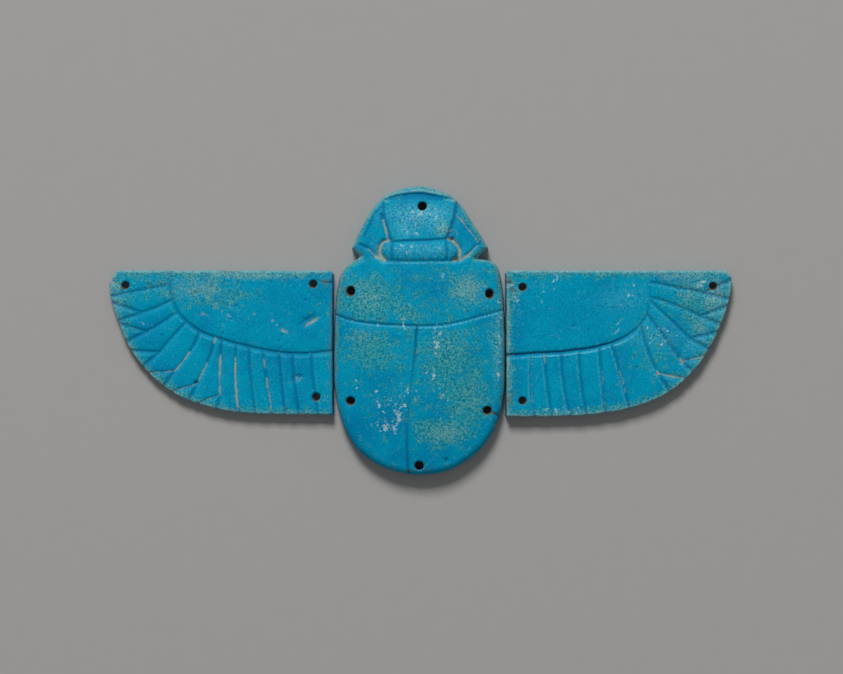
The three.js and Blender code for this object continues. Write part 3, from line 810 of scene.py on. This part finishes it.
def faience():
    """Egyptian faience: a sandy quartz core under a copper-blue glaze, fired once and long buried.

    The eye sees a saturated turquoise that pools darker in the carving, where shade is painted too,
    fine paler grains all over, milky clouds where the glaze has weathered, pale rims and lips that
    are partly painted highlight, sand-coloured core where it is gone, white salt specks and small
    dark pits. The surface keeps only a soft sheen.
    """
    name = "worn blue faience glaze"
    known = bpy.data.materials.get(name)
    if known:
        return known
    look = bpy.context.scene.amulet_glaze
    glaze = Recipe(name, linear(look.blue))
    channel, between = glaze.channel, glaze.between
    plus, minus, times = glaze.plus, glaze.minus, glaze.times

    clouds = glaze.grain(7.0, 3.0)
    patches = glaze.grain(1.9, 4.0, 0.62)
    grains = glaze.grain(0.5, 3.0, 0.7)
    crumbs = glaze.grain(0.85, 2.0, 0.55)
    dust = glaze.grain(0.34, 1.0)
    fine = glaze.grain(0.28, 1.0)

    # Sound glaze: slow clouds where it ran thick, and greener weathered patches with paler grains.
    glaze.coat(linear(look.deep), between(clouds, 0.42, 0.68), 0.5)
    glaze.coat(linear(look.deep), channel("deep"), 0.8)
    weathered = between(glaze.uneven("green", patches, 1.9), 0.2, 0.8)
    glaze.coat(linear(look.green), weathered, 0.85)
    glaze.coat(linear(look.mottle), times(weathered, between(grains, 0.4, 0.68)), 0.8)
    glaze.coat(linear(look.shade), between(fine, 0.48, 0.3), 0.45)
    glaze.coat(linear(look.light), between(fine, 0.5, 0.72), 0.3)

    # Milky clouds, pale rims and thin lips that are partly painted highlight, with dark grains among them.
    milk = plus(times(channel("pale"), 0.3), times(patches, 0.25))
    milk = plus(milk, times(plus(grains, fine), 0.35))
    glaze.coat(linear(look.pale), between(milk, 0.56, 0.86), 0.75)
    glaze.coat(linear(look.pale), times(channel("rim"), between(patches, 0.2, 0.55)), 0.75)
    glaze.coat(linear(look.lip), times(channel("lip"), between(grains, 0.38, 0.55)), 0.75)
    dark = plus(times(glaze.more(weathered, channel("lip")), 0.45), 0.2)
    glaze.coat(linear(look.shade), between(grains, 0.5, 0.34), dark)
    # Pooled glaze and painted shade in the carving, the crescent, small pits and dark scratches.
    glaze.coat(linear(look.pool), channel("pool"), 0.7)

    # Sand in the thin glaze, burst bubbles, stain, bare core and a crust of salt.
    sand = between(plus(times(channel("speck"), 0.14), crumbs), 0.75, 0.83)
    glaze.coat(linear(look.sand), times(sand, glaze.mostly("speck")), 0.6)
    bubble = times(between(patches, 0.45, 0.75), 0.13)
    pits = between(minus(bubble, glaze.cells(1.5)), 0.0, 0.04)
    glaze.coat(linear(look.pool), pits, 0.8)
    stain = between(glaze.uneven("brown", patches, 1.2), 0.1, 0.6)
    glaze.coat(linear(look.brown), channel("brown"), stain)
    ragged = times(plus(grains, patches), 0.5)
    core = times(between(glaze.uneven("core", ragged, 2.6), 0.2, 1.0), 0.8)
    glaze.coat(linear(look.core), core)
    crust = plus(times(fine, 0.25), times(crumbs, 0.75))
    salt = times(between(glaze.uneven("salt", crust, 3.4), 0.45, 0.95), 0.75)
    salt = times(salt, glaze.mostly("salt"))
    glaze.coat(linear(look.salt), salt)

    # The sheen dies where core or salt lies bare, and the grain stands out a little.
    rough = plus(times(dust, 0.25), look.roughness - 0.12)
    rough = plus(rough, times(glaze.more(core, salt), 0.3))
    relief = plus(times(grains, 0.6), times(dust, 0.4))
    relief = minus(minus(relief, times(pits, 0.8)), times(core, 0.35))
    bump = glaze.node("ShaderNodeBump", {"Strength": 0.6, "Distance": look.relief, "Height": relief})
    return glaze.finished({
        "Roughness": rough, "IOR": 1.5, "Specular IOR Level": 0.03, "Normal": bump.outputs["Normal"],
    })


def backing_paper():
    """Plain backing paper: matt, pale grey, with the faint mottle of laid pulp."""
    look = bpy.context.scene.amulet_stage
    paper = Recipe("pale grey backing paper", linear(look.paper, 1 - PULP_MOTTLE))
    paper.coat(linear(look.paper, 1 + PULP_MOTTLE), paper.grain(4.0, 4.0, 0.6))
    return paper.finished({"Roughness": 0.9, "Specular IOR Level": 0.1})


def metres(name, description, default):
    """A length for a group of sizes."""
    return bpy.props.FloatProperty(
        name=name, description=description, default=default, unit="LENGTH", precision=6)


def angle(name, description, degrees):
    """An angle for a group of settings."""
    return bpy.props.FloatProperty(
        name=name, description=description, default=math.radians(degrees), subtype="ANGLE")


def tint(name, description, default):
    """A colour for a group of settings, as an sRGB hex value."""
    return bpy.props.StringProperty(name=name, description=description, default=default)


class ScarabSizes(bpy.types.PropertyGroup):
    """Sizes of the scarab plaque."""

    width: metres("Width", "Across the wing cases", SCARAB_BOX[1][0] - SCARAB_BOX[0][0])
    length: metres(
        "Length", "From the front of the head to the end of the wing cases",
        SCARAB_BOX[1][1] - SCARAB_BOX[0][1])
    crown: metres("Crown height", "Highest point of the low dome", SCARAB_BOX[1][2])
    rim: metres("Rim height", "Height of the dome over the rim, before it rounds down", 0.0054)
    edge: metres("Edge radius", "Radius that rounds the top into the sides", 0.0017)
    bore: metres("Thread hole", "Width of the holes for the thread", 0.00225)
    bar_rise: metres("Neck bar rise", "How far the neck bar stands out", 0.0006)
    voxel: metres("Clay grain", "Spacing of the mesh points that the carving is cut into", 0.00026)


class WingSizes(bpy.types.PropertyGroup):
    """Sizes shared by the two wings."""

    taper: metres("Taper", "How much thinner a wing is at its tip than at its root", 0.0004)
    edge: metres("Edge radius", "Radius that rounds the top into the sides", 0.00045)
    bore: metres("Thread hole", "Width of the holes for the thread", 0.0021)
    covert_width: metres("Covert line width", "Width of the line under the covert feathers", 0.0014)
    covert_depth: metres("Covert line depth", "Depth of the line under the covert feathers", 0.0006)
    feather_width: metres("Feather line width", "Width of the lines between feathers", 0.00115)
    feather_depth: metres("Feather line depth", "Depth of the lines between feathers", 0.0003)
    notch_reach: metres("Notch reach", "Along the rim, from a notch to its side branch", 0.0046)
    voxel: metres("Clay grain", "Spacing of the mesh points that the carving is cut into", 0.00021)


class GlazeLook(bpy.types.PropertyGroup):
    """Colours and surface of the faience."""

    blue: tint("Glaze", "Copper-blue glaze at its usual thickness", "#009ABE")
    deep: tint("Deep glaze", "Bluer glaze where it ran thick", "#0079AC")
    # Pooled glaze, and the colour of the shade painted in the carving.
    pool: tint("Pooled glaze", "Dark glaze in the foot of the carving", "#005C8A")
    shade: tint("Shade grain", "Fine darker grain all over the glaze", "#006084")
    light: tint("Light grain", "Fine paler grain all over the glaze", "#00B6CA")
    mottle: tint("Mottle", "Softly lighter patches in the greener glaze", "#5AAEB0")
    pale: tint("Milky glaze", "Weathered glaze gone milky", "#84B4B4")
    # Pale blue of the lips, partly thin glaze and partly painted highlight.
    lip: tint("Thin lips", "Pale blue where the glaze drew thin beside a line", "#66C6DC")
    green: tint("Green glaze", "Glaze that has turned towards green", "#108C97")
    sand: tint("Sand specks", "Grains of the core in the thin glaze", "#A89C7C")
    core: tint("Core", "Sandy quartz core where the glaze is gone", "#9EAC98")
    salt: tint("Salt", "White salt specks", "#B4D0D2")
    # Also the painted shade along the edges beside the gaps.
    brown: tint("Stain", "Brown burial stain", "#655036")
    roughness: bpy.props.FloatProperty(
        name="Roughness", description="Roughness of the sound glaze", default=0.5, min=0.0, max=1.0)
    relief: metres("Grain relief", "Height of the fine grain in the glaze", 0.00007)


class StageLook(bpy.types.PropertyGroup):
    """Floor, light and camera."""

    paper: tint("Paper", "Pale grey of the floor", "#A8A6A4")
    key_power: bpy.props.FloatProperty(
        name="Key light", description="Power of the soft key light in watts", default=38.0)
    key_elevation: angle("Key elevation", "Height of the key light over the floor", 46)
    key_turn: angle(
        "Key turn", "How far the key light stands to the left of the top of the picture", 11)
    fill: bpy.props.FloatProperty(
        name="Fill light", description="Strength of the even light from all sides", default=0.24)
    lens: bpy.props.FloatProperty(
        name="Lens", description="Focal length in millimetres", default=150.0)
    centre: bpy.props.FloatVectorProperty(
        name="Centre pixel", description="Pixel of the photograph under the camera",
        size=2, default=(421.5, 337.0))


class AMULET_OT_scarab(bpy.types.Operator):
    """Model the scarab plaque"""

    bl_idname = "amulet.scarab"
    bl_label = "Scarab"

    def execute(self, context):
        sizes = context.scene.amulet_scarab
        crown, rim, bore = sizes.crown / MM, sizes.rim / MM, sizes.bore / MM
        scale = np.array([sizes.width / MM, sizes.length / MM])
        outline = np.vstack([evenly(smooth_line(half, scale)) for half in (BODY_OUTLINE, HEAD_OUTLINE)])
        bores = [(np.array(share) * scale, bore, bore) for share in SCARAB_BORES]
        bores += [(np.array(share) * scale, bore, SHOULDER_STRETCH * bore) for share in SHOULDER_BORES]
        piece = blank("scarab_glazed", outline, crown, bores, sizes.voxel / MM)

        origin = np.array(SCARAB_BOX).mean(axis=0)[:2] / MM
        local = mesh_points(piece.data)[:, :2]
        skin = Skin(local + origin, outline + origin)
        share = local / (scale / 2)
        top = rim + (crown - rim) * (1 - (share ** 2).sum(axis=1))
        top += self.neck_bar(local, scale) * sizes.bar_rise / MM
        for line in scarab_lines():
            skin.carve(line, smooth_line(line.stations, scale) + origin)
        self.crescent(skin, local, scale)
        skin.wear_mouths(bores, origin)
        top -= skin.rounding(sizes.edge / MM)
        top += SCARAB_BUMP * unevenness(local, BUMP_SIZE, 3)
        skin.age()
        # The rim faces the light most near the head: the pale band along it, partly a painted highlight,
        # and the green band grow weaker towards the tail, which lies in shade.
        worn = np.clip(1 + local[:, 1] / SCARAB_FADE, 0, 1)
        skin.along_rim("rim", worn, 0.45)
        skin.along_rim("green", 0.2 + 0.7 * worn, 1.2)
        flare = GAP_FLARE * np.sign(local[:, 0]) * bell(local[:, 1], WING_LEVEL, 4)
        finish_piece(piece, skin, top, crown, origin, flare)
        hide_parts("scarab")
        return {"FINISHED"}

    @staticmethod
    def neck_bar(local, scale):
        """The low roll across the neck, round at both ends: 0 off it and 1 along its top."""
        (left, foot), (right, top) = np.array(NECK_BAR) * scale
        radius = (top - foot) / 2
        level = (top + foot) / 2
        spine = np.array([[left + radius, level], [right - radius, level]])
        away, _, _ = nearest(local, spine)
        return np.sqrt(np.clip(1 - (away / radius) ** 2, 0, 1))

    @staticmethod
    def crescent(skin, local, scale):
        """The sunk crescent behind the front edge of the head plate, deepest under that edge."""
        top, foot = smooth_line(CRESCENT_TOP, scale), smooth_line(CRESCENT_FOOT, scale)
        front, _, _ = nearest(local, top)
        sunk = inside(local, np.vstack([top, foot])) * np.clip(front / CRESCENT_EDGE, 0, 1)
        start, run = CRESCENT_RISE
        sloped = sunk * np.clip(start - front / run, 0, 1)
        skin.cut = np.maximum(skin.cut, CRESCENT_DEPTH * sloped)
        # Painted shade, with pooled glaze, in the sloped foot under the front edge.
        skin.raise_to("pool", CRESCENT_SHADE * sloped)
        # A pale band along the front edge outside the crescent, painted as a highlight on the lit edge.
        skin.raise_to("rim", np.where(sunk > 0, 0, 1.4 * bell(front - 0.45, 0.3)))


class AMULET_OT_wings(bpy.types.Operator):
    """Model the two wings"""

    bl_idname = "amulet.wings"
    bl_label = "Wings"

    def execute(self, context):
        for wing in (LEFT_WING, RIGHT_WING):
            self.build(wing, context.scene.amulet_wings)
        return {"FINISHED"}

    def build(self, wing, sizes):
        """One wing, worked out from its upper root corner."""
        low, high = np.array(wing.box) / MM
        reach, drop, thickness = high - low
        origin = np.array([high[0] if wing.side < 0 else low[0], high[1]])
        scale = np.array([wing.side * reach, -drop])
        rim, coverts = smooth_line(wing.rim, scale), smooth_line(wing.coverts, scale)
        corners = np.array([
            [wing.side * (reach - wing.tip_cut), 0],
            [wing.side * wing.root_cut, 0],
            [0, -wing.root_cut],
        ])
        outline = np.vstack([evenly(rim), corners])
        bore = sizes.bore / MM
        bores = [(np.array([wing.side * out, -down]), bore, bore) for out, down in wing.bores]
        piece = blank(wing.node + "_glazed", outline, thickness, bores, sizes.voxel / MM)

        local = mesh_points(piece.data)[:, :2]
        skin = Skin(local + origin, outline + origin)
        covert_line = Line(
            (), sizes.covert_width / MM, sizes.covert_depth / MM, steep=-wing.side, roll=WING_ROLL,
            dark=wing.fade, lip=wing.lip,
        )
        skin.carve(covert_line, coverts + origin)
        for feather in wing.feathers:
            for line, path in self.feather_lines(wing, feather, coverts, rim, sizes):
                skin.carve(line, path + origin)
        skin.wear_mouths(bores, origin)
        top = thickness - sizes.taper / MM * (local[:, 0] / reach) ** 2 - skin.rounding(sizes.edge / MM)
        top += WING_BUMP * unevenness(local, BUMP_SIZE, 7 + wing.side)
        skin.age()
        # Along the rim: a pale band, partly a painted highlight, and green and milky bands. On the left
        # wing's root edge, which faces away from the light, they give way to a deeper band of painted
        # shade.
        worn = 1 - (1 - wing.root_light) * bell(local[:, 0], ROOT_LIGHT_REACH, 4)
        skin.along_rim("rim", 1.4 * worn, 0.42)
        skin.along_rim("green", 0.8 * worn, 2.1)
        skin.along_rim("pale", 0.55 * worn, 1.3)
        skin.along_rim("deep", 1 - worn, 0.5)
        flare = -GAP_FLARE * wing.side * bell(local[:, 0], ROOT_SIDE)
        finish_piece(piece, skin, top, thickness, origin, flare)
        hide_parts(wing.node)

    @staticmethod
    def feather_lines(wing, feather, coverts, rim, sizes):
        """The carved lines of one feather: its long side and, where the tips part, its notch."""
        width = sizes.feather_width / MM
        depth = sizes.feather_depth / MM * feather.depth
        start = place_at(coverts, feather.root)
        foot = place_at(rim, feather.rim)
        finish = {
            "steep": FEATHER_LEAN * wing.side, "roll": WING_ROLL,
            "dark": (FEATHER_SHADE,), "lip": (wing.feather_lip,),
        }
        side = Line((), width, depth, bare=feather.bare, **finish)
        if feather.notch == 0:
            return [(side, bowed(start, foot, feather.bow))]
        ahead = place_at(rim, min(feather.rim + RIM_STEP, 1)) - place_at(rim, feather.rim - RIM_STEP)
        inward = np.array([ahead[1], -ahead[0]]) / np.hypot(*ahead)
        if inward @ (start - foot) < 0:
            inward = -inward
        fork = foot + inward * feather.notch
        branch = place_at(rim, min(feather.rim + sizes.notch_reach / MM / run_of(rim)[-1], 1))
        plain = Line((), NOTCH_WIDER * width, NOTCH_DEEPER * depth, **finish)
        bare = ((0.0, 1.0, feather.fork_bare),) if feather.fork_bare else ()
        return [
            (side, bowed(start, fork, feather.bow)),
            (plain, bowed(fork, foot)),
            (replace(plain, bare=bare), bowed(fork, branch)),
        ]


class AMULET_OT_stage(bpy.types.Operator):
    """Lay the paper floor and set the light and the camera"""

    bl_idname = "amulet.stage"
    bl_label = "Stage"

    def execute(self, context):
        look = context.scene.amulet_stage
        self.floor()
        self.light(look)
        self.camera(look)
        context.scene.view_settings.view_transform = "Standard"
        return {"FINISHED"}

    @staticmethod
    def floor():
        sheet = bmesh.new()
        bmesh.ops.create_grid(sheet, x_segments=1, y_segments=1, size=FLOOR_HALF)
        floor = add_mesh("paper_floor", sheet)
        floor.data.materials.append(backing_paper())

    @staticmethod
    def light(look):
        key = bpy.data.lights.new("soft_key", "AREA")
        key.shape = "RECTANGLE"
        key.size, key.size_y = KEY_SIZE
        key.energy = look.key_power
        flat = math.cos(look.key_elevation)
        lamp = add_object("soft_key", key)
        lamp.location = KEY_DISTANCE * Vector((
            -flat * math.sin(look.key_turn), flat * math.cos(look.key_turn), math.sin(look.key_elevation),
        ))
        lamp.rotation_euler = (-lamp.location).to_track_quat("-Z", "Y").to_euler()
        world = bpy.data.worlds.new("even fill")
        world.use_nodes = True
        background = world.node_tree.nodes["Background"]
        background.inputs["Color"].default_value = (1.0, 1.0, 1.0, 1.0)
        background.inputs["Strength"].default_value = look.fill
        bpy.context.scene.world = world

    @staticmethod
    def camera(look):
        """Straight down, at the height from which the frame shows as much as the photograph."""
        lens = bpy.data.cameras.new("overhead_camera")
        lens.lens = look.lens
        lens.sensor_width = 36.0
        lens.sensor_fit = "HORIZONTAL"
        frame_width = PHOTO_FRAME[0] * PIXEL * MM
        camera = add_object("overhead_camera", lens)
        camera.location = (*photo_place(*look.centre) * MM, frame_width * lens.lens / lens.sensor_width)
        bpy.context.scene.camera = camera


class AMULET_PT_panel(bpy.types.Panel):
    """Lists the steps that make the amulet"""

    bl_idname = "AMULET_PT_panel"
    bl_label = "Winged scarab amulet"
    bl_space_type = "VIEW_3D"
    bl_region_type = "UI"
    bl_category = "Amulet"

    def draw(self, context):
        for step in OPERATORS:
            self.layout.operator(step.bl_idname)


OPERATORS = (AMULET_OT_scarab, AMULET_OT_wings, AMULET_OT_stage)
GROUPS = {
    "amulet_scarab": ScarabSizes,
    "amulet_wings": WingSizes,
    "amulet_glaze": GlazeLook,
    "amulet_stage": StageLook,
}


def register():
    for name, group in GROUPS.items():
        bpy.utils.register_class(group)
        setattr(bpy.types.Scene, name, bpy.props.PointerProperty(type=group))
    for item in OPERATORS + (AMULET_PT_panel,):
        bpy.utils.register_class(item)


def unregister():
    for item in reversed(OPERATORS + (AMULET_PT_panel,)):
        bpy.utils.unregister_class(item)
    for name, group in GROUPS.items():
        delattr(bpy.types.Scene, name)
        bpy.utils.unregister_class(group)


def main():
    register()
    bpy.ops.amulet.scarab()
    bpy.ops.amulet.wings()
    bpy.ops.amulet.stage()


if __name__ == "__main__":
    main()
